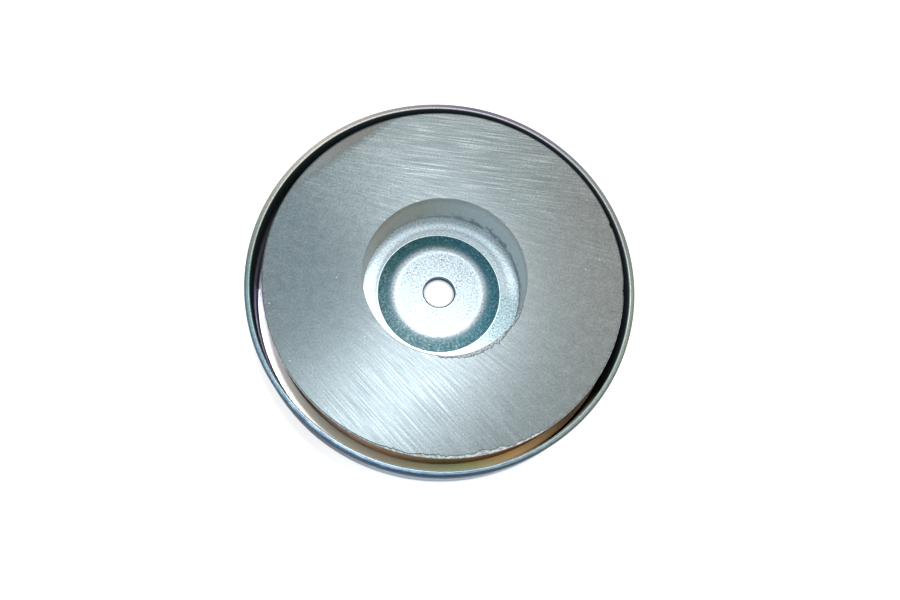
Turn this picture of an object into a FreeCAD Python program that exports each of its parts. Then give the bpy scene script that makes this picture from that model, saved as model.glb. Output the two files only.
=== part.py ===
import FreeCAD, Part
import math
import os
import Sketcher

# Round-base magnet: a ring of ground ferrite lying in a shallow drawn steel cup.
# The part lies on its back with the working face up. Its origin is the middle of the cup's back,
# +Z points out of the working face and the small shift of the ring points towards +X and +Y.
# All lengths are millimetres.

doc = FreeCAD.newDocument("RoundMagnet")

# Driving sizes
SIZES = [
    # The cup: one piece of drawn sheet with a plain upright wall
    ("cup_diameter", 81.0, "outside of the wall"),
    ("cup_height", 12.0, "back to rim"),
    ("sheet_thickness", 1.2, "of the floor, the wall and the boss"),
    ("bend_inside", 0.4, "inside radius between floor and wall"),
    ("rim_round_inside", 0.3, "worn and plated inner edge of the rim"),
    ("rim_round_outside", 0.45, "outer edge of the rim"),
    # The raised boss in the middle of the floor, pressed up from the back
    ("boss_gap", 3.75, "from the foot of the boss to the bore, if the ring were in the middle"),
    ("boss_slope_width", 3.4, "of the sloped side, seen from above"),
    ("boss_rise", 0.8, "of the flat top above the floor"),
    ("boss_foot_radius", 0.6, "hollow at the foot of the slope"),
    ("boss_shoulder_radius", 5.0, "soft turn from slope to flat top"),
    ("hole_diameter", 6.8, "for the screw, through the boss"),
    ("hole_roll_radius", 0.25, "edge drawn in by the punch, on the face side"),
    # The ring magnet, placed by the gap that is left round it
    ("side_gap", 1.7, "between ring and wall if the ring were in the middle"),
    ("least_gap", 0.84, "between ring and wall where they are closest"),
    ("lean_angle", 46.0, "direction of the closest place, from +X towards +Y, degrees"),
    ("face_drop", 0.0, "of the ground face below the rim"),
    ("bore_diameter", 34.3, "of the ring"),
    ("face_edge_break", 0.15, "chamfer left on the edges of the ground face"),
    ("foot_edge_break", 0.5, "chamfer on the edges that lie on the cup's floor"),
    # The low place at the edge of the face, which the grinding did not reach
    ("patch_reach", 2.8, "in from the ring's edge"),
    ("patch_depth", 0.1, "below the ground face"),
    ("patch_angle", 130.0, "direction of its middle, from +X towards +Y, degrees"),
]

sheet = doc.addObject("Spreadsheet::Sheet", "sizes")
for row, (alias, value, note) in enumerate(SIZES, start=1):
    sheet.set("A%d" % row, alias)
    sheet.set("B%d" % row, str(value))
    sheet.set("C%d" % row, note)
    sheet.setAlias("B%d" % row, alias)
doc.recompute()


def plane(body, role):
    """The body's own origin plane or axis with that role."""
    for feature in body.Origin.OriginFeatures:
        if feature.Role == role:
            return feature
    raise ValueError("no origin feature " + role)


def new_sketch(body, name, role):
    sketch = body.newObject("Sketcher::SketchObject", name)
    sketch.AttachmentSupport = [(plane(body, role), "")]
    sketch.MapMode = "FlatFace"
    return sketch


def closed_section(sketch, corners):
    """A closed outline of straight lines, each corner held by its own two distances.

    Each corner is (x, y, x_formula, y_formula). A formula is bound to the sheet, and an empty one
    holds the corner on the axis that it starts on.
    """
    count = len(corners)
    for index, (x, y, _, _) in enumerate(corners):
        x_next, y_next = corners[(index + 1) % count][:2]
        start = FreeCAD.Vector(x, y, 0)
        end = FreeCAD.Vector(x_next, y_next, 0)
        sketch.addGeometry(Part.LineSegment(start, end), False)
    for index in range(count):
        sketch.addConstraint(Sketcher.Constraint("Coincident", index, 2, (index + 1) % count, 1))
    for index, (x, y, x_formula, y_formula) in enumerate(corners):
        for kind, value, formula, axis in (
            ("DistanceX", x, x_formula, -2),
            ("DistanceY", y, y_formula, -1),
        ):
            if formula:
                number = sketch.addConstraint(Sketcher.Constraint(kind, -1, 1, index, 1, value))
                sketch.setExpression("Constraints[%d]" % number, formula)
            else:
                sketch.addConstraint(Sketcher.Constraint("PointOnObject", index, 1, axis))


def circle(sketch, radius, formula):
    """A circle about the sketch's origin with its radius bound to the sheet."""
    number = sketch.addGeometry(Part.Circle(FreeCAD.Vector(0, 0, 0), FreeCAD.Vector(0, 0, 1), radius), False)
    sketch.addConstraint(Sketcher.Constraint("Coincident", number, 3, -1, 1))
    held = sketch.addConstraint(Sketcher.Constraint("Radius", number, radius))
    sketch.setExpression("Constraints[%d]" % held, formula)


def turned(body, kind, name, sketch):
    """A full turn of the sketch about the body's upright axis, added or cut away."""
    feature = body.newObject(kind, name)
    feature.Profile = sketch
    feature.ReferenceAxis = (sketch, ["V_Axis"])
    feature.Angle = 360
    sketch.Visibility = False
    doc.recompute()
    return feature


def round_edges(shape, radius, height):
    """Names of the circular edges of that radius and height."""
    names = []
    for index, edge in enumerate(shape.Edges, start=1):
        curve = edge.Curve
        if not isinstance(curve, Part.Circle):
            continue
        same_radius = abs(curve.Radius - radius) < 1e-4
        same_height = abs(curve.Center.z - height) < 1e-4
        if same_radius and same_height:
            names.append("Edge%d" % index)
    if not names:
        raise ValueError("no round edge at radius %.3f, height %.3f" % (radius, height))
    return names


def edge_feature(body, kind, name, places, size_name, formula):
    """A fillet or chamfer on the round edges at (radius, height) of the body's last feature."""
    base = body.Tip
    names = []
    for radius, height in places:
        names += round_edges(base.Shape, radius, height)
    feature = body.newObject(kind, name)
    feature.Base = (base, names)
    feature.setExpression(size_name, formula)
    doc.recompute()
    return feature


def size(alias):
    return float(sheet.get(alias))


# The steel cup

cup = doc.addObject("PartDesign::Body", "SteelCup")
cup.Label = "steel_cup"

outer = size("cup_diameter") / 2
inner = outer - size("sheet_thickness")
top = size("cup_height")
floor = size("sheet_thickness")
bore_radius = size("bore_diameter") / 2
boss_foot = bore_radius - size("boss_gap")
boss_flat = boss_foot - size("boss_slope_width")
boss_top = floor + size("boss_rise")
hole = size("hole_diameter") / 2

# Floor and wall, as half a section turned about the axis
shell_sketch = new_sketch(cup, "shell_section", "XZ_Plane")
closed_section(shell_sketch, [
    (0, 0, "", ""),
    (outer, 0, "sizes.cup_diameter / 2", ""),
    (outer, top, "sizes.cup_diameter / 2", "sizes.cup_height"),
    (inner, top, "sizes.cup_diameter / 2 - sizes.sheet_thickness", "sizes.cup_height"),
    (inner, floor, "sizes.cup_diameter / 2 - sizes.sheet_thickness", "sizes.sheet_thickness"),
    (0, floor, "", "sizes.sheet_thickness"),
])
turned(cup, "PartDesign::Revolution", "shell", shell_sketch)

# The boss: raised on the face side, and wide enough to stand inside the ring's bore with a gap all round
FOOT = "sizes.bore_diameter / 2 - sizes.boss_gap"
boss_sketch = new_sketch(cup, "boss_section", "XZ_Plane")
closed_section(boss_sketch, [
    (0, floor, "", "sizes.sheet_thickness"),
    (boss_foot, floor, FOOT, "sizes.sheet_thickness"),
    (boss_flat, boss_top, FOOT + " - sizes.boss_slope_width", "sizes.sheet_thickness + sizes.boss_rise"),
    (0, boss_top, "", "sizes.sheet_thickness + sizes.boss_rise"),
])
turned(cup, "PartDesign::Revolution", "boss", boss_sketch)

# The same form from the back, so that the sheet keeps its thickness through the boss
recess_sketch = new_sketch(cup, "recess_section", "XZ_Plane")
closed_section(recess_sketch, [
    (0, 0, "", ""),
    (boss_foot, 0, FOOT, ""),
    (boss_flat, size("boss_rise"), FOOT + " - sizes.boss_slope_width", "sizes.boss_rise"),
    (0, size("boss_rise"), "", "sizes.boss_rise"),
])
volume_before = cup.Shape.Volume
turned(cup, "PartDesign::Groove", "boss_recess", recess_sketch)
if cup.Shape.Volume >= volume_before:
    raise ValueError("the recess behind the boss cut nothing")

# The screw hole
hole_sketch = new_sketch(cup, "hole_plan", "XY_Plane")
circle(hole_sketch, hole, "sizes.hole_diameter / 2")
screw_hole = cup.newObject("PartDesign::Pocket", "screw_hole")
screw_hole.Profile = hole_sketch
screw_hole.Type = "ThroughAll"
screw_hole.Midplane = True
hole_sketch.Visibility = False
volume_before = cup.Shape.Volume
doc.recompute()
if cup.Shape.Volume >= volume_before:
    raise ValueError("the screw hole cut nothing")

# Radii of the drawn sheet: the two sides of each turn are rounded in the order inside, outside
edge_feature(cup, "PartDesign::Fillet", "bend_inside", [(inner, floor)],
             "Radius", "sizes.bend_inside")
edge_feature(cup, "PartDesign::Fillet", "bend_outside", [(outer, 0)],
             "Radius", "sizes.bend_inside + sizes.sheet_thickness")
edge_feature(cup, "PartDesign::Fillet", "boss_foot", [(boss_foot, floor), (boss_foot, 0)],
             "Radius", "sizes.boss_foot_radius")
edge_feature(cup, "PartDesign::Fillet", "boss_shoulder",
             [(boss_flat, boss_top), (boss_flat, size("boss_rise"))],
             "Radius", "sizes.boss_shoulder_radius")
edge_feature(cup, "PartDesign::Fillet", "rim_inside", [(inner, top)],
             "Radius", "sizes.rim_round_inside")
edge_feature(cup, "PartDesign::Fillet", "rim_outside", [(outer, top)],
             "Radius", "sizes.rim_round_outside")
edge_feature(cup, "PartDesign::Fillet", "hole_roll", [(hole, boss_top)],
             "Radius", "sizes.hole_roll_radius")


# The ring magnet, which lies on the cup's floor with its ground face level with the rim

ring = doc.addObject("PartDesign::Body", "RingMagnet")
ring.Label = "ring_magnet"

ring_radius = inner - size("side_gap")
ring_thickness = top - floor - size("face_drop")

EDGE = "sizes.cup_diameter / 2 - sizes.sheet_thickness - sizes.side_gap"
HEIGHT = "sizes.cup_height - sizes.sheet_thickness - sizes.face_drop"

ring_sketch = new_sketch(ring, "ring_plan", "XY_Plane")
circle(ring_sketch, ring_radius, EDGE)
circle(ring_sketch, bore_radius, "sizes.bore_diameter / 2")
ring_pad = ring.newObject("PartDesign::Pad", "ring_blank")
ring_pad.Profile = ring_sketch
ring_pad.setExpression("Length", HEIGHT)
ring_sketch.Visibility = False
doc.recompute()

edge_feature(ring, "PartDesign::Chamfer", "face_edges",
             [(ring_radius, ring_thickness), (bore_radius, ring_thickness)],
             "Size", "sizes.face_edge_break")
edge_feature(ring, "PartDesign::Chamfer", "foot_edges",
             [(ring_radius, 0), (bore_radius, 0)],
             "Size", "sizes.foot_edge_break")

# The low patch, cut straight across a piece of the edge
patch_sketch = new_sketch(ring, "patch_section", "XZ_Plane")
patch_sketch.AttachmentOffset = FreeCAD.Placement(
    FreeCAD.Vector(0, 0, 0), FreeCAD.Rotation(FreeCAD.Vector(0, 1, 0), size("patch_angle")))
patch_sketch.setExpression("AttachmentOffset.Rotation.Angle", "sizes.patch_angle")
patch_low = ring_thickness - size("patch_depth")
patch_high = ring_thickness + size("patch_depth")
patch_in = ring_radius - size("patch_reach")
patch_out = ring_radius + size("patch_reach")
closed_section(patch_sketch, [
    (patch_in, patch_low, EDGE + " - sizes.patch_reach", HEIGHT + " - sizes.patch_depth"),
    (patch_out, patch_low, EDGE + " + sizes.patch_reach", HEIGHT + " - sizes.patch_depth"),
    (patch_out, patch_high, EDGE + " + sizes.patch_reach", HEIGHT + " + sizes.patch_depth"),
    (patch_in, patch_high, EDGE + " - sizes.patch_reach", HEIGHT + " + sizes.patch_depth"),
])
low_patch = ring.newObject("PartDesign::Pocket", "low_patch")
low_patch.Profile = patch_sketch
low_patch.Type = "ThroughAll"
low_patch.Midplane = True
patch_sketch.Visibility = False
volume_before = ring.Shape.Volume
doc.recompute()
if ring.Shape.Volume >= volume_before:
    raise ValueError("the low patch cut nothing")

ring.setExpression("Placement.Base.x", "(sizes.side_gap - sizes.least_gap) * cos(sizes.lean_angle)")
ring.setExpression("Placement.Base.y", "(sizes.side_gap - sizes.least_gap) * sin(sizes.lean_angle)")
ring.setExpression("Placement.Base.z", "sizes.sheet_thickness")
doc.recompute()

# Checks before anything is written

for item in doc.Objects:
    if "Invalid" in item.State or "Error" in item.State:
        raise ValueError("%s did not build: %s" % (item.Name, item.State))

shift = math.hypot(ring.Placement.Base.x, ring.Placement.Base.y)
if abs(shift - (size("side_gap") - size("least_gap"))) > 1e-6:
    raise ValueError("the ring is not where its gaps put it")

os.makedirs("parts", exist_ok=True)
for body in (cup, ring):
    shape = body.Shape
    if shape.isNull() or not shape.isValid():
        raise ValueError(body.Label + " has no valid shape")
    if len(shape.Solids) != 1:
        raise ValueError(body.Label + " is not one solid")
    shape.exportStep("parts/%s.step" % body.Label)
    print(body.Label, "volume %.1f mm3" % shape.Volume)
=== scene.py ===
"""A round-base magnet: a ring of ground ferrite in a shallow drawn steel cup, working face up."""
import math

import bpy
from mathutils import Matrix, Vector, noise


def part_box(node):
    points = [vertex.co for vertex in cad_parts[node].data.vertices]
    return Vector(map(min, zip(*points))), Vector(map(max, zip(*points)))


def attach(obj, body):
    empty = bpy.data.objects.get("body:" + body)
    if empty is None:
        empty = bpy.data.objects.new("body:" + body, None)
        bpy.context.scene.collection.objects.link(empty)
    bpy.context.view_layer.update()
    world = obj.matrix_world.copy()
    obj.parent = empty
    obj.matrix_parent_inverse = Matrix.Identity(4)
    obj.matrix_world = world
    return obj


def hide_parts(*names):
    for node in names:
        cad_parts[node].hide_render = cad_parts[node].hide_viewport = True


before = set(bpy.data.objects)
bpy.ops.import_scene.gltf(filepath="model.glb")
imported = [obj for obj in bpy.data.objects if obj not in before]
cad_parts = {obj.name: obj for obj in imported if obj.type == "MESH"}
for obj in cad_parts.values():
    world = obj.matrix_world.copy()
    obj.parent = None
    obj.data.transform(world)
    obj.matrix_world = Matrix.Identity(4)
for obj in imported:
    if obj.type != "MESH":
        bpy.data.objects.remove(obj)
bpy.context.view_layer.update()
scene = bpy.context.scene


# The steel cup
# One disc of mild steel sheet, drawn into a flat-bottomed cup with an upright wall and a trimmed rim.
# A shallow boss with a punched screw hole is pressed up in the middle. The whole cup is zinc plated.

MM = 0.001
cup_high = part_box("steel_cup")[1]
CUP_RADIUS = cup_high.x / MM
CUP_HEIGHT = cup_high.z / MM
SHEET = 1.2
WALL_INSIDE = CUP_RADIUS - SHEET
BEND_INSIDE = 0.4
RIM_ROUND_INSIDE = 0.3
RIM_ROUND_OUTSIDE = 0.45
BOSS_FOOT = 13.4
BOSS_FLAT = 10.0
BOSS_RISE = 0.8
BOSS_FOOT_RADIUS = 0.6
BOSS_SHOULDER_RADIUS = 5.0
HOLE_RADIUS = 3.4
HOLE_ROLL = 0.25
CUP_STEPS = 480
ARC_STEP = 9.0
HOLD = 0.08


def rounded_section(corners):
    """A closed outline through corners (x, z, radius), in millimetres, with an arc at each radius.

    A point is held on the straight a little way off each arc, so that flats stay flat when shaded.
    """
    points = []
    count = len(corners)
    for index, (x, z, radius) in enumerate(corners):
        corner = Vector((x, z))
        before = (Vector(corners[index - 1][:2]) - corner).normalized()
        after = (Vector(corners[(index + 1) % count][:2]) - corner).normalized()
        if radius == 0:
            points += [corner + before * HOLD, corner, corner + after * HOLD]
            continue
        half = before.angle(after) / 2
        reach = radius / math.tan(half)
        middle = corner + (before + after).normalized() * (radius / math.sin(half))
        start = corner + before * reach - middle
        swing = (corner + after * reach - middle).angle_signed(start)
        steps = max(2, round(abs(math.degrees(swing)) / ARC_STEP))
        points.append(corner + before * (reach + HOLD))
        for step in range(steps + 1):
            points.append(middle + Matrix.Rotation(swing * step / steps, 2) @ start)
        points.append(corner + after * (reach + HOLD))
    return points


def mesh_piece(name, vertices, faces):
    """A smooth-shaded mesh object from vertices in millimetres."""
    mesh = bpy.data.meshes.new(name)
    mesh.from_pydata([Vector(v) * MM for v in vertices], [], faces)
    mesh.shade_smooth()
    piece = bpy.data.objects.new(name, mesh)
    scene.collection.objects.link(piece)
    return piece


def closed_grid_faces(rounds, steps):
    """Quads of a grid that closes on itself both ways, its points stored round by round."""
    faces = []
    for row in range(rounds):
        for step in range(steps):
            here = row * steps
            above = (row + 1) % rounds * steps
            beside = (step + 1) % steps
            faces.append((here + step, here + beside, above + beside, above + step))
    return faces


cup_section = rounded_section([
    (HOLE_RADIUS, SHEET + BOSS_RISE, HOLE_ROLL),
    (HOLE_RADIUS, BOSS_RISE, 0),
    (BOSS_FLAT, BOSS_RISE, BOSS_SHOULDER_RADIUS),
    (BOSS_FOOT, 0, BOSS_FOOT_RADIUS),
    (CUP_RADIUS, 0, BEND_INSIDE + SHEET),
    (CUP_RADIUS, CUP_HEIGHT, RIM_ROUND_OUTSIDE),
    (WALL_INSIDE, CUP_HEIGHT, RIM_ROUND_INSIDE),
    (WALL_INSIDE, SHEET, BEND_INSIDE),
    (BOSS_FOOT, SHEET, BOSS_FOOT_RADIUS),
    (BOSS_FLAT, SHEET + BOSS_RISE, BOSS_SHOULDER_RADIUS),
])
cup_points = []
for r, z in cup_section:
    for step in range(CUP_STEPS):
        angle = math.tau * step / CUP_STEPS
        cup_points.append((r * math.cos(angle), r * math.sin(angle), z))
cup = mesh_piece("steel_cup_plated", cup_points, closed_grid_faces(len(cup_section), CUP_STEPS))


def linear(hex_colour):
    """An sRGB hex colour as the linear RGBA that the shaders take."""
    channels = []
    for place in (1, 3, 5):
        value = int(hex_colour[place:place + 2], 16) / 255
        channels.append(value / 12.92 if value <= 0.04045 else ((value + 0.055) / 1.055) ** 2.4)
    return (*channels, 1.0)


def add(tree, kind, inputs=None, stops=None, **settings):
    """Adds one node with its settings, then its inputs: each a value, or the socket that feeds it.

    A colour ramp's stops are (position, colour), its two end stops first.
    """
    made = tree.nodes.new("ShaderNode" + kind)
    for name, value in settings.items():
        setattr(made, name, value)
    for number, (place, colour) in enumerate(stops or []):
        ramp = made.color_ramp.elements
        stop = ramp[number] if number < 2 else ramp.new(place)
        stop.position = place
        stop.color = colour
    for name, value in (inputs or {}).items():
        if isinstance(value, bpy.types.NodeSocket):
            tree.links.new(value, made.inputs[name])
        else:
            made.inputs[name].default_value = value
    return made


def new_material(name):
    """A material with no nodes yet."""
    made = bpy.data.materials.new(name)
    made.use_nodes = True
    made.node_tree.nodes.clear()
    return made


def measures(tree, middle_x, middle_y):
    """What a round piece's material measures by, in millimetres, with the radius and turn round its middle.

    The turn is 0 at the left, 0.25 at the near side, 0.5 at the right, 0.75 at the far side and 1 again at
    the left.
    """
    place = add(tree, "TexCoord").outputs["Object"]
    place = add(tree, "VectorMath", {0: place, 1: (1 / MM, 1 / MM, 1 / MM)}, operation="MULTIPLY").outputs[0]
    height = add(tree, "SeparateXYZ", {0: place}).outputs["Z"]
    flat_place = add(tree, "VectorMath", {0: place, 1: (1.0, 1.0, 0.0), 2: (-middle_x, -middle_y, 0.0)},
                     operation="MULTIPLY_ADD").outputs[0]
    radius = add(tree, "VectorMath", {0: flat_place}, operation="LENGTH").outputs["Value"]
    axes = add(tree, "SeparateXYZ", {0: flat_place}).outputs
    angle = add(tree, "Math", {0: axes["Y"], 1: axes["X"]}, operation="ARCTAN2").outputs[0]
    turn = add(tree, "MapRange", {"Value": angle, "From Min": -math.pi, "From Max": math.pi}).outputs[0]
    return place, flat_place, axes, height, radius, turn


# Zinc plate with a clear passivation on drawn mild steel. On the flats the plating shows its crystals and
# looks silvery and speckled. The slope of the boss was rubbed smooth by the die and looks dark and blue.
# The thin film on the rim and the wall is tinted, and a highlight is painted along the rim's inner edge.
NONE = (0.0, 0.0, 0.0, 1.0)
FULL = (1.0, 1.0, 1.0, 1.0)
zinc = new_material("clear_passivated_zinc_plate")
tree = zinc.node_tree
place, flat_place, axes, height, radius, turn = measures(tree, 0.0, 0.0)

# Crystals of the plating, about 0.4 mm across, with a coarser cloud over them. Off the middle of the boss
# they show less.
SPECK = 0.4
CLOUD = 3.0
speck = add(tree, "TexNoise", {
    "Vector": place, "Scale": 1 / SPECK, "Detail": 3.0, "Roughness": 0.7}).outputs[0]
cloud = add(tree, "TexNoise", {"Vector": place, "Scale": 1 / CLOUD, "Detail": 3.0}).outputs[0]
crystals = add(tree, "ValToRGB", {"Fac": speck}, stops=[
    (0.36, linear("#3a4a50")), (0.66, linear("#b4bdc1")), (0.44, linear("#67777d")),
    (0.52, linear("#868f95"))]).outputs[0]
clouded = add(tree, "MapRange", {
    "Value": cloud, "From Min": 0.3, "From Max": 0.7, "To Max": 0.5}).outputs[0]
off_middle = add(tree, "MapRange", {
    "Value": radius, "From Min": BOSS_FLAT - 2.5, "From Max": BOSS_FLAT - 0.5, "To Max": 0.5}).outputs[0]
even = add(tree, "Math", {0: clouded, 1: off_middle}, operation="MAXIMUM").outputs[0]
plain = add(tree, "Mix", {0: even, 6: crystals, 7: linear("#8a979e")}, data_type="RGBA").outputs[2]

# At the foot of the bore on the far side the plating is matte, and painted light makes it paler where the
# bore wall shades it. None of the marks on the floor is on the cup's back.
BORE_MIDDLE = (0.6, 0.62, SHEET)
FOOT_LIGHT_GAIN = 3.2
from_bore = add(tree, "VectorMath", {0: place, 1: BORE_MIDDLE}, operation="DISTANCE").outputs["Value"]
matte = add(tree, "MapRange", {"Value": from_bore, "From Min": 13.2, "From Max": 15.2}).outputs[0]
far_half = add(tree, "MapRange", {"Value": axes["Y"], "From Min": -4.0, "From Max": 8.0}).outputs[0]
off_slope = add(tree, "MapRange", {
    "Value": radius, "From Min": BOSS_FOOT + 0.02, "From Max": BOSS_FOOT + 0.1}).outputs[0]
face_side = add(tree, "MapRange", {
    "Value": height, "From Min": SHEET - 0.35, "From Max": SHEET - 0.05}).outputs[0]
for share in (far_half, off_slope, face_side):
    matte = add(tree, "Math", {0: matte, 1: share}, operation="MULTIPLY").outputs[0]
# Painted light at the far foot of the bore, where the bore wall shades the floor
at_foot = add(tree, "MapRange", {"Value": from_bore, "From Min": 14.1, "From Max": 15.5},
              interpolation_type="SMOOTHSTEP").outputs[0]
at_foot = add(tree, "Math", {0: at_foot, 1: far_half}, operation="MULTIPLY").outputs[0]
foot_painted_light = add(tree, "MapRange", {"Value": at_foot, "To Min": 1.0, "To Max": FOOT_LIGHT_GAIN}).outputs[0]

# It is duller on top of the boss, lighter on its shoulder by painted light, and darkest just outside its foot
tone_and_shoulder_light = add(tree, "MapRange", {
    "Value": radius, "From Min": BOSS_FLAT - 1.5, "From Max": BOSS_FLAT + 1.2,
    "To Min": 0.86, "To Max": 1.6}).outputs[0]
beside = add(tree, "MapRange", {
    "Value": radius, "From Min": BOSS_FOOT - 0.1, "From Max": BOSS_FOOT + 0.1,
    "To Min": 1.0, "To Max": 0.47}).outputs[0]
beyond = add(tree, "MapRange", {
    "Value": radius, "From Min": BOSS_FOOT + 0.2, "From Max": BOSS_FOOT + 1.0,
    "To Min": 1.0, "To Max": 1.33}).outputs[0]
for share in (beside, beyond):
    tone_and_shoulder_light = add(tree, "Math", {0: tone_and_shoulder_light, 1: share}, operation="MULTIPLY").outputs[0]
silver = plain
for share in (foot_painted_light, tone_and_shoulder_light):
    silver = add(tree, "VectorMath", {0: silver, 1: share}, operation="MULTIPLY").outputs[0]

# One dark stain with a cloudy border lies beside the boss at the right
STAIN_MIDDLE = (15.5, -7.0, SHEET)
STAIN_TINT = (0.5, 0.62, 0.62)
from_stain = add(tree, "VectorMath", {0: place, 1: STAIN_MIDDLE}, operation="DISTANCE").outputs["Value"]
from_stain = add(tree, "Math", {0: cloud, 1: 6.0, 2: from_stain}, operation="MULTIPLY_ADD").outputs[0]
stain = add(tree, "MapRange", {
    "Value": from_stain, "From Min": 13.0, "From Max": 7.0, "To Max": 0.7}).outputs[0]
stained = add(tree, "VectorMath", {0: crystals, 1: STAIN_TINT}, operation="MULTIPLY").outputs[0]
silver = add(tree, "Mix", {0: stain, 6: silver, 7: stained}, data_type="RGBA").outputs[2]

# The smooth slope of the boss, its inner border broken up by the crystals, with a painted highlight towards
# the near left. At its foot a fine pale line is a painted highlight.
NEAR_LEFT = (-0.6, -0.8, 0.0)
NEAR_LEFT_HIGHLIGHT = (1.69, 1.15, 1.05, 1.0)
ragged = add(tree, "Math", {0: speck, 1: 2.5, 2: radius}, operation="MULTIPLY_ADD").outputs[0]
slope_in = add(tree, "MapRange", {"Value": ragged, "From Min": 11.6, "From Max": 12.4}).outputs[0]
slope_out = add(tree, "MapRange", {
    "Value": radius, "From Min": BOSS_FOOT + 0.02, "From Max": BOSS_FOOT - 0.08}).outputs[0]
slope = add(tree, "Math", {0: slope_in, 1: slope_out}, operation="MULTIPLY").outputs[0]
teal = add(tree, "ValToRGB", {"Fac": speck}, stops=[
    (0.36, linear("#38707f")), (0.68, linear("#92bcc6")), (0.52, linear("#548795"))]).outputs[0]
near_left_highlight = add(tree, "VectorMath", {0: place, 1: NEAR_LEFT}, operation="DOT_PRODUCT").outputs["Value"]
near_left_highlight = add(tree, "MapRange", {"Value": near_left_highlight, "From Max": 12.0}).outputs[0]
near_left_highlight = add(tree, "Mix", {0: near_left_highlight, 6: FULL, 7: NEAR_LEFT_HIGHLIGHT}, data_type="RGBA").outputs[2]
teal = add(tree, "VectorMath", {0: teal, 1: near_left_highlight}, operation="MULTIPLY").outputs[0]
floor_colour = add(tree, "Mix", {0: slope, 6: silver, 7: teal}, data_type="RGBA").outputs[2]
# Painted highlight: the pale line at the slope's foot
foot_highlight = add(tree, "MapRange", {
    "Value": radius, "From Min": BOSS_FOOT + 0.15, "From Max": BOSS_FOOT + 0.1}).outputs[0]
foot_highlight = add(tree, "Math", {0: foot_highlight, 1: slope_out}, operation="SUBTRACT", use_clamp=True).outputs[0]
floor_colour = add(tree, "Mix", {
    0: foot_highlight, 6: floor_colour, 7: linear("#c2d6d8")}, data_type="RGBA").outputs[2]
floor_colour = add(tree, "Mix", {0: face_side, 6: plain, 7: floor_colour}, data_type="RGBA").outputs[2]

# The film on the rim, by direction: a painted highlight along the inner edge, and darker outside.
# Its blotches are about 2 mm long and 0.35 mm wide.
edge_highlight_film = add(tree, "ValToRGB", {"Fac": turn}, stops=[
    (0.0, linear("#84a094")), (1.0, linear("#84a094")), (0.07, linear("#6c7c80")),
    (0.18, linear("#a8b2b8")), (0.27, linear("#8496a2")), (0.42, linear("#808b80")),
    (0.55, linear("#ccd4cc")), (0.7, linear("#d8d4e4")), (0.86, linear("#f2f2e2")),
    (0.94, linear("#e0e4d4"))]).outputs[0]
outer_film = add(tree, "ValToRGB", {"Fac": turn}, stops=[
    (0.0, linear("#5c7276")), (1.0, linear("#5c7276")), (0.16, linear("#667a8a")),
    (0.25, linear("#4a5a68")), (0.36, linear("#66726e")), (0.5, linear("#7c847a")),
    (0.6, linear("#8c8c8a")), (0.72, linear("#766c82")), (0.87, linear("#c4c0b4"))]).outputs[0]
BLOTCH_LONG = 2.0
BLOTCH_WIDE = 0.35
RIM_RADIUS = 40.0
compass = add(tree, "VectorMath", {0: flat_place}, operation="NORMALIZE").outputs[0]
blotches_round = RIM_RADIUS / BLOTCH_LONG
round_place = add(tree, "VectorMath", {
    0: compass, 1: (blotches_round, blotches_round, 0.0)}, operation="MULTIPLY").outputs[0]
down_place = add(tree, "Math", {0: radius, 1: height}, operation="SUBTRACT").outputs[0]
down_place = add(tree, "Math", {0: down_place, 1: 1 / BLOTCH_WIDE}, operation="MULTIPLY").outputs[0]
down_place = add(tree, "CombineXYZ", {2: down_place}).outputs[0]
blotch_place = add(tree, "VectorMath", {0: round_place, 1: down_place}, operation="ADD").outputs[0]
blotch = add(tree, "TexNoise", {
    "Vector": blotch_place, "Scale": 1.0, "Detail": 3.0, "Roughness": 0.6}).outputs[0]

# On the near side navy blotches mark the film, and a navy painted reflection covers the outer edge
near_side = add(tree, "ValToRGB", {"Fac": turn}, stops=[
    (0.04, NONE), (0.42, NONE), (0.12, FULL), (0.3, FULL)]).outputs[0]
navy_blotch_and_reflection = add(tree, "MapRange", {
    "Value": blotch, "From Min": 0.45, "From Max": 0.6, "To Max": 0.6}).outputs[0]
edge_reflection = add(tree, "MapRange", {
    "Value": height, "From Min": CUP_HEIGHT - 0.05, "From Max": CUP_HEIGHT - 0.3}).outputs[0]
navy_blotch_and_reflection = add(tree, "Math", {0: navy_blotch_and_reflection, 1: edge_reflection}, operation="MAXIMUM").outputs[0]
navy_blotch_and_reflection = add(tree, "Math", {0: navy_blotch_and_reflection, 1: near_side}, operation="MULTIPLY").outputs[0]
outside = add(tree, "Mix", {0: navy_blotch_and_reflection, 6: outer_film, 7: linear("#2c4053")}, data_type="RGBA").outputs[2]

# Below the film the wall carries a pale painted reflection of the white board, but for a stretch at the left
# that is tinted to the foot
border = add(tree, "Math", {0: blotch, 1: -5.0, 2: height}, operation="MULTIPLY_ADD").outputs[0]
under_film = add(tree, "MapRange", {"Value": border, "From Min": 6.6, "From Max": 4.9},
                 interpolation_type="SMOOTHSTEP").outputs[0]
reflection_side = add(tree, "ValToRGB", {"Fac": turn}, stops=[
    (0.0, FULL), (1.0, FULL), (0.04, NONE), (0.14, NONE), (0.2, FULL)]).outputs[0]
pale_reflection = add(tree, "Math", {0: under_film, 1: reflection_side}, operation="MULTIPLY").outputs[0]
outside = add(tree, "Mix", {0: pale_reflection, 6: outside, 7: linear("#d2d9de")}, data_type="RGBA").outputs[2]
# Painted highlight: the film's pale colour along the rim's inner edge
inner_edge_highlight = add(tree, "MapRange", {
    "Value": radius, "From Min": WALL_INSIDE + 0.36, "From Max": WALL_INSIDE + 0.2}).outputs[0]
rim_colour = add(tree, "Mix", {0: inner_edge_highlight, 6: outside, 7: edge_highlight_film}, data_type="RGBA").outputs[2]
fleck = add(tree, "MapRange", {
    "Value": speck, "From Min": 0.35, "From Max": 0.65, "To Min": 0.8, "To Max": 1.2}).outputs[0]
rim_colour = add(tree, "VectorMath", {0: rim_colour, 1: fleck}, operation="MULTIPLY").outputs[0]
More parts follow.
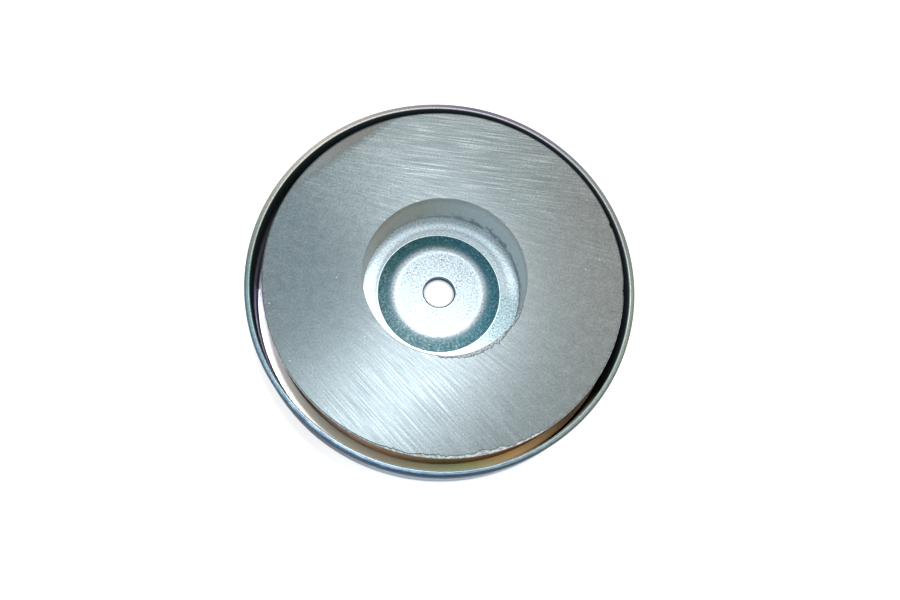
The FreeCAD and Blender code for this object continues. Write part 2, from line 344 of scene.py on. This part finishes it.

# Inside the gap round the ring, by direction: painted shade on the wall, painted light on the floor at the
# left, and a white near wall, which lights the gap's olive and tan floor. Round the right and the far side
# painted shade darkens the bend.
wall_film_and_shade = add(tree, "ValToRGB", {"Fac": turn}, stops=[
    (0.0, linear("#2a3a3a")), (1.0, linear("#2a3a3a")), (0.07, linear("#343a58")),
    (0.12, linear("#8a90a0")), (0.16, linear("#f4f4f0")), (0.34, linear("#f0e8d8")),
    (0.4, linear("#1c1a14")), (0.5, linear("#5a6e78"))]).outputs[0]
floor_film_and_light = add(tree, "ValToRGB", {"Fac": turn}, stops=[
    (0.0, linear("#c4bfd6")), (1.0, linear("#c4bfd6")), (0.05, linear("#f3eef4")),
    (0.11, linear("#d9d8cf")), (0.15, linear("#bcbbae")), (0.22, linear("#c0baa2")),
    (0.27, linear("#c0ca98")), (0.32, linear("#e0b880")), (0.37, linear("#7a654c")),
    (0.85, linear("#6f7080"))]).outputs[0]
low_down = add(tree, "MapRange", {"Value": height, "From Min": 8.0, "From Max": 1.5},
               interpolation_type="SMOOTHSTEP").outputs[0]
gap_colour = add(tree, "Mix", {0: low_down, 6: wall_film_and_shade, 7: floor_film_and_light}, data_type="RGBA").outputs[2]
# Painted shade in the bend at the right and the far side
bend_shade = add(tree, "MapRange", {
    "Value": radius, "From Min": WALL_INSIDE - 0.8, "From Max": WALL_INSIDE - 0.4}).outputs[0]
to_right = add(tree, "MapRange", {
    "Value": turn, "From Min": 0.24, "From Max": 0.32, "To Max": 0.75}).outputs[0]
for share in (to_right, low_down):
    bend_shade = add(tree, "Math", {0: bend_shade, 1: share}, operation="MULTIPLY").outputs[0]
gap_colour = add(tree, "Mix", {0: bend_shade, 6: gap_colour, 7: linear("#3a352c")}, data_type="RGBA").outputs[2]

# Where the floor's colour, the gap's and the rim's meet
at_rim = add(tree, "MapRange", {
    "Value": height, "From Min": CUP_HEIGHT - 0.2, "From Max": CUP_HEIGHT - 0.08}).outputs[0]
at_outside = add(tree, "MapRange", {
    "Value": radius, "From Min": WALL_INSIDE + 0.4, "From Max": WALL_INSIDE + 0.5}).outputs[0]
in_the_open = add(tree, "Math", {0: at_rim, 1: at_outside}, operation="MAXIMUM").outputs[0]
wall_colour = add(tree, "Mix", {0: in_the_open, 6: gap_colour, 7: rim_colour}, data_type="RGBA").outputs[2]
at_wall = add(tree, "MapRange", {
    "Value": radius, "From Min": WALL_INSIDE - 3.3, "From Max": WALL_INSIDE - 2.8}).outputs[0]
over_back = add(tree, "MapRange", {
    "Value": height, "From Min": SHEET - 0.9, "From Max": SHEET - 0.3}).outputs[0]
wall_share = add(tree, "Math", {0: at_wall, 1: over_back}, operation="MULTIPLY").outputs[0]
wall_share = add(tree, "Math", {0: wall_share, 1: at_outside}, operation="MAXIMUM").outputs[0]
colour = add(tree, "Mix", {0: wall_share, 6: floor_colour, 7: wall_colour}, data_type="RGBA").outputs[2]

# The hole: its drawn-in edge carries painted shade on the near side and painted lilac light on the far side,
# and its sheared side is teal, as painted shade
at_hole = add(tree, "MapRange", {
    "Value": radius, "From Min": HOLE_RADIUS + 0.3, "From Max": HOLE_RADIUS + 0.2}).outputs[0]
drawn_in = add(tree, "MapRange", {
    "Value": radius, "From Min": HOLE_RADIUS + 0.02, "From Max": HOLE_RADIUS + 0.06}).outputs[0]
far_edge = add(tree, "MapRange", {"Value": axes["Y"], "From Min": -0.5, "From Max": 1.5}).outputs[0]
edge_light_and_shade = add(tree, "Mix", {
    0: far_edge, 6: linear("#27384b"), 7: linear("#bdbada")}, data_type="RGBA").outputs[2]
hole_colour = add(tree, "Mix", {0: drawn_in, 6: linear("#6f9ca6"), 7: edge_light_and_shade}, data_type="RGBA").outputs[2]
colour = add(tree, "Mix", {0: at_hole, 6: colour, 7: hole_colour}, data_type="RGBA").outputs[2]

# The crystals make the shine uneven. The wall high up in the gap doesn't mirror the light: it is dusty.
DUST_ROUGHNESS = 0.9
MATTE_METALLIC = 0.1
bump = add(tree, "Bump", {"Height": speck, "Strength": 0.4, "Distance": 0.03 * MM}).outputs[0]
rough = add(tree, "MapRange", {"Value": speck, "To Min": 0.22, "To Max": 0.42}).outputs[0]
dusty = add(tree, "MapRange", {"Value": height, "From Min": 5.0, "From Max": 8.0}).outputs[0]
dusty = add(tree, "Math", {0: dusty, 1: in_the_open}, operation="SUBTRACT", use_clamp=True).outputs[0]
rough = add(tree, "Mix", {0: dusty, 2: rough, 3: DUST_ROUGHNESS}).outputs[0]
metallic = add(tree, "MapRange", {"Value": matte, "To Min": 1.0, "To Max": MATTE_METALLIC}).outputs[0]
shader = add(tree, "BsdfPrincipled", {
    "Base Color": colour, "Metallic": metallic, "Roughness": rough,
    "Specular Tint": linear("#98a4b0"), "Normal": bump})
add(tree, "OutputMaterial", {"Surface": shader.outputs[0]})
cup.data.materials.append(zinc)
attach(cup, "root")
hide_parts("steel_cup")


# The ring magnet
# A pressed and sintered ring of hard ferrite, a dark brittle ceramic. It lies on the cup's floor, a little
# off the middle, and its upper face is ground level with the rim.

ring_low, ring_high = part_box("ring_magnet")
RING_X = (ring_low.x + ring_high.x) / 2 / MM
RING_Y = (ring_low.y + ring_high.y) / 2 / MM
RING_RADIUS = (ring_high.x - ring_low.x) / 2 / MM
RING_FOOT = ring_low.z / MM
RING_FACE = ring_high.z / MM
BORE_RADIUS = 17.15
EDGE_BREAK = 0.15
BORE_BREAK = 0.06
FOOT_BREAK = 0.5
RING_STEPS = 1080
BREAK_ROWS = 4
SIDE_ROWS = 8
FOOT_ROWS = 4

# The rows of points across the face crowd towards its outer edge, where the patch is
FACE_ROWS = 40
FACE_CROWDING = 1.6

# The low patch at the far left of the face, with a straight border that is soft and a little ragged
PATCH_ANGLE = math.radians(130)
PATCH_CHORD = RING_RADIUS - 2.8
PATCH_DEPTH = 0.1
PATCH_BORDER = 1.4
PATCH_RAGGED = 0.3
PATCH_JAGS = 40

# Chips in the brittle top edges: direction and half length in degrees, reach in from the edge, depth down.
# A chip is jagged along its length and a little hollow.
OUTER_CHIPS = [
    (18.5, 1.0, 0.45, 0.9), (-4.0, 2.2, 0.35, 0.8), (-14.0, 0.7, 0.25, 0.5), (-19.5, 0.9, 0.3, 0.6),
    (-92.0, 9.0, 0.75, 0.3), (-78.0, 9.0, 0.95, 0.35), (-64.0, 6.0, 0.55, 0.3),
    (-106.0, 4.0, 0.5, 0.25), (200.0, 0.9, 0.3, 0.4)]
BORE_CHIPS = [
    (-86.0, 10.0, 0.7, 0.3), (-70.0, 13.0, 1.2, 0.45), (-54.0, 13.0, 1.0, 0.4),
    (-34.0, 14.0, 0.55, 0.3), (45.0, 3.0, 0.2, 0.3)]
WIDE_JAG = 0.35
FINE_JAG = 1.1
JAG_DEPTH = 0.45
CHIP_FULLNESS = 0.8
CHIP_HOLLOW = 0.18


def chip_shape(chips, angle, even_break):
    """How far the edge is broken back and down at a direction: the even break, or a chip's rough one."""
    back = even_break
    down = even_break
    degrees = math.degrees(angle)
    for middle, half, reach, depth in chips:
        off = abs((degrees - middle + 180) % 360 - 180) / half
        if off < 1:
            jag = noise.noise(Vector((degrees * WIDE_JAG, middle, 0)))
            jag += noise.noise(Vector((degrees * FINE_JAG, middle, 0)))
            body = math.sqrt(1 - off * off) * (CHIP_FULLNESS + JAG_DEPTH * jag)
            back = max(back, reach * body)
            down = max(down, depth * body)
    return back, down


def ring_column(angle):
    """The ring's section at one direction, as (radius, height), all the way round from the bore's foot."""
    column = [(BORE_RADIUS + FOOT_BREAK, RING_FOOT), (BORE_RADIUS, RING_FOOT + FOOT_BREAK)]
    back, down = chip_shape(BORE_CHIPS, angle, BORE_BREAK)
    low = RING_FOOT + FOOT_BREAK
    high = RING_FACE - down
    for row in range(1, SIDE_ROWS):
        column.append((BORE_RADIUS, low + (high - low) * row / SIDE_ROWS))
    column.append((BORE_RADIUS, high - HOLD))
    column.append((BORE_RADIUS, high))
    for row in range(1, BREAK_ROWS):
        share = row / BREAK_ROWS
        hollow = CHIP_HOLLOW * back * math.sin(math.pi * share)
        column.append((BORE_RADIUS + back * share + hollow, high + down * share - hollow))
    outer_back, outer_down = chip_shape(OUTER_CHIPS, angle, EDGE_BREAK)
    start = BORE_RADIUS + back
    end = RING_RADIUS - outer_back
    spread = [1 - (1 - row / FACE_ROWS) ** FACE_CROWDING for row in range(FACE_ROWS + 1)]
    face_rows = [start + (end - start) * share for share in spread]
    face_rows.insert(1, start + HOLD)
    face_rows.insert(-1, end - HOLD)
    ragged = PATCH_RAGGED * noise.noise(Vector((angle * PATCH_JAGS, 0, 0)))
    for r in face_rows:
        across = r * math.cos(angle - PATCH_ANGLE)
        fade = min(1, max(0, (across - PATCH_CHORD + ragged) / PATCH_BORDER + 0.5))
        column.append((r, RING_FACE - PATCH_DEPTH * fade * fade * (3 - 2 * fade)))
    for row in range(1, BREAK_ROWS):
        share = row / BREAK_ROWS
        hollow = CHIP_HOLLOW * outer_back * math.sin(math.pi * share)
        column.append((end + outer_back * share - hollow, RING_FACE - outer_down * share - hollow))
    high = RING_FACE - outer_down
    column.append((RING_RADIUS, high))
    column.append((RING_RADIUS, high - HOLD))
    for row in range(1, SIDE_ROWS + 1):
        column.append((RING_RADIUS, high + (low - high) * row / SIDE_ROWS))
    outer_foot = RING_RADIUS - FOOT_BREAK
    inner_foot = BORE_RADIUS + FOOT_BREAK
    for row in range(FOOT_ROWS):
        column.append((outer_foot + (inner_foot - outer_foot) * row / FOOT_ROWS, RING_FOOT))
    return column


columns = [ring_column(math.tau * step / RING_STEPS) for step in range(RING_STEPS)]
ring_points = []
for row in range(len(columns[0])):
    for step, column in enumerate(columns):
        angle = math.tau * step / RING_STEPS
        r, z = column[row]
        ring_points.append((RING_X + r * math.cos(angle), RING_Y + r * math.sin(angle), z))
ring = mesh_piece("ring_magnet_ferrite", ring_points, closed_grid_faces(len(columns[0]), RING_STEPS))
ring.data.flip_normals()

# Hard ferrite. Ground on its working face, it is a mid grey with a cool, silky shine and fine curved lines
# left by the wheel. Its sides, its bore and the low patch keep the sintered skin, which is dull and browner.
ferrite = new_material("ground_hard_ferrite")
tree = ferrite.node_tree
place, flat_place, axes, height, radius, turn = measures(tree, RING_X, RING_Y)

# The grain, about 0.4 mm across where it is torn out, and clouds of 2 and 7 mm
GRAIN = 0.4
SMALL_CLOUD = 2.0
WIDE_CLOUD = 7.0
grain = add(tree, "TexNoise", {
    "Vector": place, "Scale": 1 / GRAIN, "Detail": 3.0, "Roughness": 0.7}).outputs[0]
small_cloud = add(tree, "TexNoise", {
    "Vector": place, "Scale": 1 / SMALL_CLOUD, "Detail": 4.0, "Roughness": 0.65}).outputs[0]
wide_cloud = add(tree, "TexNoise", {"Vector": place, "Scale": 1 / WIDE_CLOUD, "Detail": 3.0}).outputs[0]

# Grinding lines in sweeps, each in its own direction across its own band of the face. The real ones are
# about 0.1 mm apart and are drawn three times as coarse, to show. A sweep is its direction in degrees and
# the middle of its band.
SWEEPS = 5
TOP_SWEEP = (-6.0, 26.0)
LOW_SWEEP = (-47.0, -26.0)
ACROSS_BANDS = (0.23, 1.0, 0.0)
LINE_WIDTH = 0.32
LINE_LENGTH = 12.0
band = add(tree, "VectorMath", {0: place, 1: ACROSS_BANDS}, operation="DOT_PRODUCT").outputs["Value"]
lines = None
for number in range(SWEEPS):
    share = number / (SWEEPS - 1)
    direction = TOP_SWEEP[0] + (LOW_SWEEP[0] - TOP_SWEEP[0]) * share
    middle = TOP_SWEEP[1] + (LOW_SWEEP[1] - TOP_SWEEP[1]) * share
    turned = add(tree, "VectorRotate", {"Vector": place, "Angle": math.radians(-direction)},
                 rotation_type="Z_AXIS").outputs[0]
    drawn_out = add(tree, "VectorMath", {0: turned, 1: (1 / LINE_LENGTH, 1 / LINE_WIDTH, 0.0)},
                    operation="MULTIPLY").outputs[0]
    sweep = add(tree, "TexNoise", {
        "Vector": drawn_out, "Scale": 1.0, "Detail": 3.0, "Roughness": 0.65}).outputs[0]
    if lines is None:
        lines = sweep
    else:
        over = add(tree, "MapRange", {"Value": band, "From Min": above, "From Max": middle},
                   interpolation_type="SMOOTHSTEP").outputs[0]
        lines = add(tree, "Mix", {0: over, 2: lines, 3: sweep}).outputs[0]
    above = middle
lines = add(tree, "MapRange", {"Value": lines, "From Min": 0.32, "From Max": 0.68}).outputs[0]

# The face: mottled, and warmer to the right
TO_WARM_SIDE = (0.8, 0.35, 0.0)
warm = add(tree, "VectorMath", {0: flat_place, 1: TO_WARM_SIDE}, operation="DOT_PRODUCT").outputs["Value"]
warm = add(tree, "MapRange", {"Value": warm, "From Min": -20.0, "From Max": 30.0}).outputs[0]
mottle = add(tree, "Mix", {0: warm, 6: linear("#64767b"), 7: linear("#7d7c74")}, data_type="RGBA").outputs[2]
mottling = add(tree, "MapRange", {
    "Value": small_cloud, "From Min": 0.3, "From Max": 0.7, "To Min": 0.75, "To Max": 1.25}).outputs[0]
mottle = add(tree, "VectorMath", {0: mottle, 1: mottling}, operation="MULTIPLY").outputs[0]

# The lines are a painted sheen as well as grinding marks: their contrast is highest on the far side and fades
# out to the left and the right
FADE_MIDDLE = 4.0
line_colour = add(tree, "ValToRGB", {"Fac": lines}, stops=[
    (0.0, linear("#1c2527")), (1.0, linear("#cfd9d8")), (0.5, linear("#6a7675"))]).outputs[0]
line_sheen = add(tree, "MapRange", {
    "Value": band, "From Min": 6.0, "From Max": 20.0, "To Min": 0.28, "To Max": 0.8}).outputs[0]
uneven = add(tree, "MapRange", {
    "Value": wide_cloud, "From Min": 0.3, "From Max": 0.7, "To Min": 0.6, "To Max": 1.3}).outputs[0]
line_sheen = add(tree, "Math", {0: line_sheen, 1: uneven}, operation="MULTIPLY", use_clamp=True).outputs[0]
sideways = add(tree, "Math", {0: axes["X"], 1: FADE_MIDDLE}, operation="SUBTRACT").outputs[0]
sideways = add(tree, "Math", {0: sideways}, operation="ABSOLUTE").outputs[0]
sideways = add(tree, "MapRange", {
    "Value": sideways, "From Min": 11.0, "From Max": 22.0, "To Min": 1.0, "To Max": 0.35}).outputs[0]
line_sheen = add(tree, "Math", {0: line_sheen, 1: sideways}, operation="MULTIPLY").outputs[0]
face_colour = add(tree, "Mix", {0: line_sheen, 6: mottle, 7: line_colour}, data_type="RGBA").outputs[2]

# A painted sheen brightens the face at the far left of the bore. It is grainy all over, with painted glints
# on single crystals
SHEEN_PATCH_MIDDLE = (-15.0, 19.0, 0.0)
CRYSTAL_SPACING = 4.5
sheen_patch = add(tree, "VectorMath", {0: flat_place, 1: SHEEN_PATCH_MIDDLE}, operation="DISTANCE").outputs["Value"]
sheen_patch = add(tree, "MapRange", {
    "Value": sheen_patch, "From Min": 19.0, "From Max": 3.0, "To Min": 1.0, "To Max": 1.5},
    interpolation_type="SMOOTHSTEP").outputs[0]
face_grain = add(tree, "MapRange", {
    "Value": grain, "From Min": 0.3, "From Max": 0.7, "To Min": 0.46, "To Max": 1.54}).outputs[0]
for share in (sheen_patch, face_grain):
    face_colour = add(tree, "VectorMath", {0: face_colour, 1: share}, operation="MULTIPLY").outputs[0]
spots = add(tree, "TexVoronoi", {"Vector": place, "Scale": 1 / CRYSTAL_SPACING}).outputs["Distance"]
# Painted glints: single crystals coloured bright
painted_glint = add(tree, "MapRange", {
    "Value": spots, "From Min": 0.045, "From Max": 0.02, "To Max": 0.8}).outputs[0]
face_colour = add(tree, "Mix", {
    0: painted_glint, 6: face_colour, 7: linear("#dfe6e6")}, data_type="RGBA").outputs[2]

# The side, by direction: painted shade along the top, and below it tan, olive, orange and brown, with rust.
# Its near white is painted light and its near black painted shade.
side_low = add(tree, "ValToRGB", {"Fac": turn}, stops=[
    (0.0, linear("#5a5244")), (1.0, linear("#5a5244")), (0.09, linear("#4a473c")),
    (0.15, linear("#ffeadc")), (0.2, linear("#ffe6cc")), (0.25, linear("#98a468")),
    (0.3, linear("#e0a45c")), (0.35, linear("#8a6c48")), (0.39, linear("#3a342c"))]).outputs[0]
rust = add(tree, "MapRange", {
    "Value": small_cloud, "From Min": 0.45, "From Max": 0.6, "To Max": 0.55}).outputs[0]
side_low = add(tree, "Mix", {0: rust, 6: side_low, 7: linear("#ffa060")}, data_type="RGBA").outputs[2]
# Painted shade: the side darker towards its top
shade_toward_top = add(tree, "MapRange", {
    "Value": height, "From Min": 4.0, "From Max": 10.5, "To Min": 1.0, "To Max": 0.75}).outputs[0]
side_low = add(tree, "VectorMath", {0: side_low, 1: shade_toward_top}, operation="MULTIPLY").outputs[0]
side_top_shade = add(tree, "ValToRGB", {"Fac": turn}, stops=[
    (0.0, linear("#56524a")), (1.0, linear("#56524a")), (0.1, linear("#5c5c60")),
    (0.16, linear("#86848a")), (0.22, linear("#6c6a78")), (0.32, linear("#5c4e54")),
    (0.42, linear("#585858"))]).outputs[0]
shade_border = add(tree, "Math", {0: small_cloud, 1: 4.0, 2: height}, operation="MULTIPLY_ADD").outputs[0]
top_share = add(tree, "MapRange", {"Value": shade_border, "From Min": 12.0, "From Max": 13.2}).outputs[0]
side_colour = add(tree, "Mix", {0: top_share, 6: side_low, 7: side_top_shade}, data_type="RGBA").outputs[2]

# The skin in the bore: paler, as painted light in its shade, with dark smudges at its foot, most of them at
# the right
bore_colour = add(tree, "ValToRGB", {"Fac": turn}, stops=[
    (0.0, linear("#e6e8e6")), (1.0, linear("#e6e8e6")), (0.55, linear("#e0f2f8")),
    (0.68, linear("#dceef2")), (0.8, linear("#c6cabf")), (0.9, linear("#cfc6b4"))]).outputs[0]
bore_top = add(tree, "MapRange", {
    "Value": height, "From Min": RING_FACE - 3.0, "From Max": RING_FACE,
    "To Min": 1.0, "To Max": 0.7}).outputs[0]
bore_colour = add(tree, "VectorMath", {0: bore_colour, 1: bore_top}, operation="MULTIPLY").outputs[0]
smudge = add(tree, "Math", {0: small_cloud, 1: 14.0, 2: height}, operation="MULTIPLY_ADD").outputs[0]
smudge = add(tree, "MapRange", {
    "Value": smudge, "From Min": 11.0, "From Max": 9.2, "To Max": 0.7}).outputs[0]
to_right = add(tree, "MapRange", {
    "Value": axes["X"], "From Min": -4.0, "From Max": 8.0, "To Min": 0.3}).outputs[0]
smudge = add(tree, "Math", {0: smudge, 1: to_right}, operation="MULTIPLY").outputs[0]
bore_colour = add(tree, "Mix", {0: smudge, 6: bore_colour, 7: linear("#4e5048")}, data_type="RGBA").outputs[2]

# The skin as a whole, brown-grey on the patch
in_bore = add(tree, "MapRange", {
    "Value": radius, "From Min": BORE_RADIUS + 1.05, "From Max": BORE_RADIUS + 0.45}).outputs[0]
at_side = add(tree, "MapRange", {
    "Value": radius, "From Min": RING_RADIUS - 0.25, "From Max": RING_RADIUS - 0.1}).outputs[0]
skin_colour = add(tree, "Mix", {
    0: in_bore, 6: linear("#706e67"), 7: bore_colour}, data_type="RGBA").outputs[2]
skin_colour = add(tree, "Mix", {0: at_side, 6: skin_colour, 7: side_colour}, data_type="RGBA").outputs[2]
shade = add(tree, "MapRange", {
    "Value": grain, "From Min": 0.3, "From Max": 0.7, "To Min": 0.75, "To Max": 1.15}).outputs[0]
skin_colour = add(tree, "VectorMath", {0: skin_colour, 1: shade}, operation="MULTIPLY").outputs[0]

# The face is ground down to a grainy border, and half ground over the left end of the patch
ragged = add(tree, "Math", {0: grain, 1: 0.12, 2: height}, operation="MULTIPLY_ADD").outputs[0]
ground = add(tree, "MapRange", {
    "Value": ragged, "From Min": RING_FACE - 0.03, "From Max": RING_FACE + 0.04}).outputs[0]
half_ground = add(tree, "MapRange", {
    "Value": turn, "From Min": 0.85, "From Max": 0.9, "To Max": 0.6}).outputs[0]
at_face = add(tree, "MapRange", {
    "Value": height, "From Min": RING_FACE - 0.2, "From Max": RING_FACE - 0.12}).outputs[0]
half_ground = add(tree, "Math", {0: half_ground, 1: at_face}, operation="MULTIPLY").outputs[0]
ground = add(tree, "Math", {0: ground, 1: half_ground}, operation="MAXIMUM").outputs[0]
colour = add(tree, "Mix", {0: ground, 6: skin_colour, 7: face_colour}, data_type="RGBA").outputs[2]

# On the near side the crumbled edges are painted pale as light, and in the bore painted dark as shade where
# they meet the face. The crumbs are painted light and shaded facets
depth = add(tree, "MapRange", {
    "Value": height, "From Min": RING_FACE - 0.4, "From Max": RING_FACE}).outputs[0]
chip_light = add(tree, "ValToRGB", {"Fac": depth}, stops=[
    (0.0, linear("#b4bcc4")), (1.0, linear("#9aa4a8")), (0.5, linear("#e6eeee")),
    (0.85, linear("#b0b8bc"))]).outputs[0]
at_bore = add(tree, "MapRange", {"Value": radius, "From Min": 22.0, "From Max": 20.0}).outputs[0]
chip_shade = add(tree, "MapRange", {"Value": depth, "From Min": 0.25, "From Max": 0.7}).outputs[0]
chip_shade = add(tree, "Math", {0: chip_shade, 1: at_bore}, operation="MULTIPLY").outputs[0]
chip_light = add(tree, "Mix", {0: chip_shade, 6: chip_light, 7: linear("#33474f")}, data_type="RGBA").outputs[2]
crumb_light_and_shade = add(tree, "MapRange", {
    "Value": grain, "From Min": 0.42, "From Max": 0.56, "To Min": 0.55, "To Max": 1.2}).outputs[0]
chip_light = add(tree, "VectorMath", {0: chip_light, 1: crumb_light_and_shade}, operation="MULTIPLY").outputs[0]
broken = add(tree, "MapRange", {
    "Value": height, "From Min": RING_FACE - 0.015, "From Max": RING_FACE - 0.03}).outputs[0]
not_deep = add(tree, "MapRange", {
    "Value": height, "From Min": RING_FACE - 0.7, "From Max": RING_FACE - 0.6}).outputs[0]
near_half = add(tree, "MapRange", {"Value": axes["Y"], "From Min": -4.0, "From Max": -9.0}).outputs[0]
for share in (not_deep, near_half):
    broken = add(tree, "Math", {0: broken, 1: share}, operation="MULTIPLY").outputs[0]
colour = add(tree, "Mix", {0: broken, 6: colour, 7: chip_light}, data_type="RGBA").outputs[2]

# The ground face is smoothest in the bright lines, and the skin is dull, most of all on the stained side
SKIN_ROUGHNESS = 0.6
SIDE_ROUGHNESS = 0.95
rough = add(tree, "MapRange", {"Value": lines, "To Min": 0.35, "To Max": 0.25}).outputs[0]
skin_rough = add(tree, "Mix", {0: at_side, 2: SKIN_ROUGHNESS, 3: SIDE_ROUGHNESS}).outputs[0]
rough = add(tree, "Mix", {0: ground, 2: skin_rough, 3: rough}).outputs[0]

# The shine stretches across the lines, whose direction swings with the band
swing = add(tree, "MapRange", {
    "Value": band, "From Min": LOW_SWEEP[1], "From Max": TOP_SWEEP[1],
    "To Min": math.radians(LOW_SWEEP[0]), "To Max": math.radians(TOP_SWEEP[0])}).outputs[0]
across = add(tree, "VectorRotate", {
    "Vector": (0.0, 1.0, 0.0), "Angle": swing}, rotation_type="Z_AXIS").outputs[0]
fine = add(tree, "Bump", {"Height": lines, "Strength": 0.35, "Distance": 0.02 * MM}).outputs[0]
coarse = add(tree, "Bump", {
    "Height": grain, "Strength": 0.25, "Distance": 0.03 * MM, "Normal": fine}).outputs[0]
shader = add(tree, "BsdfPrincipled", {
    "Base Color": colour, "Roughness": rough, "IOR": 1.95, "Anisotropic": 0.75, "Tangent": across,
    "Specular Tint": linear("#e4f6ff"), "Normal": coarse})
add(tree, "OutputMaterial", {"Surface": shader.outputs[0]})
ring.data.materials.append(ferrite)
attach(ring, "root")
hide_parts("ring_magnet")


# The table and the light
# The magnet lies on its back on a smooth white board. One soft lamp stands nearly overhead, on the far
# side, so that the ground face and the plated floor shine, and the pale room fills in the rest.

FLOOR_HALF = 1500.0
floor = mesh_piece("floor", [(-FLOOR_HALF, -FLOOR_HALF, 0), (FLOOR_HALF, -FLOOR_HALF, 0),
                             (FLOOR_HALF, FLOOR_HALF, 0), (-FLOOR_HALF, FLOOR_HALF, 0)], [(0, 1, 2, 3)])

# White paper board. Its colour is painted shadow, dark teal, in the cup's contact shadow and under the cup,
# but not in the disc that shows through the screw hole. To the camera, and mirrored in the metal, the lit
# board glows up to white, and the glow fades out in the painted shadow.
BOARD_GLOW = 0.6
SHADOW_REACH = 9.0
board = new_material("white_board")
tree = board.node_tree
open_sky = add(tree, "AmbientOcclusion", {"Distance": SHADOW_REACH * MM}, samples=8).outputs["AO"]
lit = add(tree, "MapRange", {"Value": open_sky, "From Min": 0.25, "From Max": 0.5}).outputs[0]
place = add(tree, "TexCoord").outputs["Object"]
off_middle = add(tree, "VectorMath", {0: place}, operation="LENGTH").outputs["Value"]
past_hole = add(tree, "MapRange", {
    "Value": off_middle, "From Min": 3.3 * MM, "From Max": 3.6 * MM}).outputs[0]
past_cup = add(tree, "MapRange", {
    "Value": off_middle, "From Min": 34.0 * MM, "From Max": 36.0 * MM}).outputs[0]
under_cup = add(tree, "Math", {0: past_hole, 1: past_cup}, operation="SUBTRACT").outputs[0]
lit = add(tree, "Math", {0: lit, 1: under_cup}, operation="SUBTRACT", use_clamp=True).outputs[0]
paper_and_painted_shadow = add(tree, "Mix", {
    0: lit, 6: linear("#2c4a5a"), 7: linear("#ececec")}, data_type="RGBA").outputs[2]
paper = add(tree, "BsdfDiffuse", {"Color": paper_and_painted_shadow}).outputs[0]
path = add(tree, "LightPath").outputs
seen = add(tree, "Math", {
    0: path["Is Camera Ray"], 1: path["Is Glossy Ray"]}, operation="MAXIMUM").outputs[0]
glow_strength = add(tree, "Math", {0: seen, 1: lit}, operation="MULTIPLY").outputs[0]
glow_strength = add(tree, "Math", {0: glow_strength, 1: BOARD_GLOW}, operation="MULTIPLY").outputs[0]
glow = add(tree, "Emission", {"Color": FULL, "Strength": glow_strength}).outputs[0]
both = add(tree, "AddShader", {0: paper, 1: glow}).outputs[0]
add(tree, "OutputMaterial", {"Surface": both})
floor.data.materials.append(board)

# The pale room: white to the camera and in mirrors, and lighting the object less strongly than that
ROOM_LIGHT = 0.6
ROOM_SEEN = 1.0
world = bpy.data.worlds.new("pale_room")
scene.world = world
world.use_nodes = True
tree = world.node_tree
tree.nodes.clear()
path = add(tree, "LightPath").outputs
seen = path["Is Camera Ray"]
for ray in ("Is Glossy Ray", "Is Transmission Ray"):
    seen = add(tree, "Math", {0: seen, 1: path[ray]}, operation="MAXIMUM").outputs[0]
strength = add(tree, "MapRange", {"Value": seen, "To Min": ROOM_LIGHT, "To Max": ROOM_SEEN}).outputs[0]
room = add(tree, "Background", {"Color": FULL, "Strength": strength}).outputs[0]
add(tree, "OutputWorld", {"Surface": room})

LAMP_PLACE = Vector((16.0, 129.0, 740.0)) * MM
LAMP_SIZE = 100 * MM
LAMP_WATTS = 1.68
lamp_data = bpy.data.lights.new("soft_lamp", "AREA")
lamp_data.shape = "DISK"
lamp_data.size = LAMP_SIZE
lamp_data.energy = LAMP_WATTS
lamp = bpy.data.objects.new("soft_lamp", lamp_data)
lamp.location = LAMP_PLACE
lamp.rotation_euler = (-LAMP_PLACE).to_track_quat("-Z", "Y").to_euler()
lamp.visible_camera = False
scene.collection.objects.link(lamp)


# The camera
# Held close over the magnet, leaning back towards the near side, with the far side up in the picture. The
# small shift places the magnet in the frame as the photograph does.

EYE = Vector((-11.33, -54.93, 177.14)) * MM
AIM = Vector((-0.334, -2.750, 12.0)) * MM
FOCAL_LENGTH = 33.70
SENSOR_WIDTH = 36.0
SHIFT = (0.0104, -0.0111)
NEAREST = 5 * MM
camera_data = bpy.data.cameras.new("camera")
camera_data.lens = FOCAL_LENGTH
camera_data.sensor_width = SENSOR_WIDTH
camera_data.shift_x = SHIFT[0]
camera_data.shift_y = SHIFT[1]
camera_data.clip_start = NEAREST
camera = bpy.data.objects.new("camera", camera_data)
look = (AIM - EYE).normalized()
right = look.cross(Vector((0, 1, 0))).normalized()
up = right.cross(look)
camera.matrix_world = Matrix.Translation(EYE) @ Matrix((right, up, -look)).transposed().to_4x4()
scene.collection.objects.link(camera)
scene.camera = camera
scene.view_settings.view_transform = "Standard"
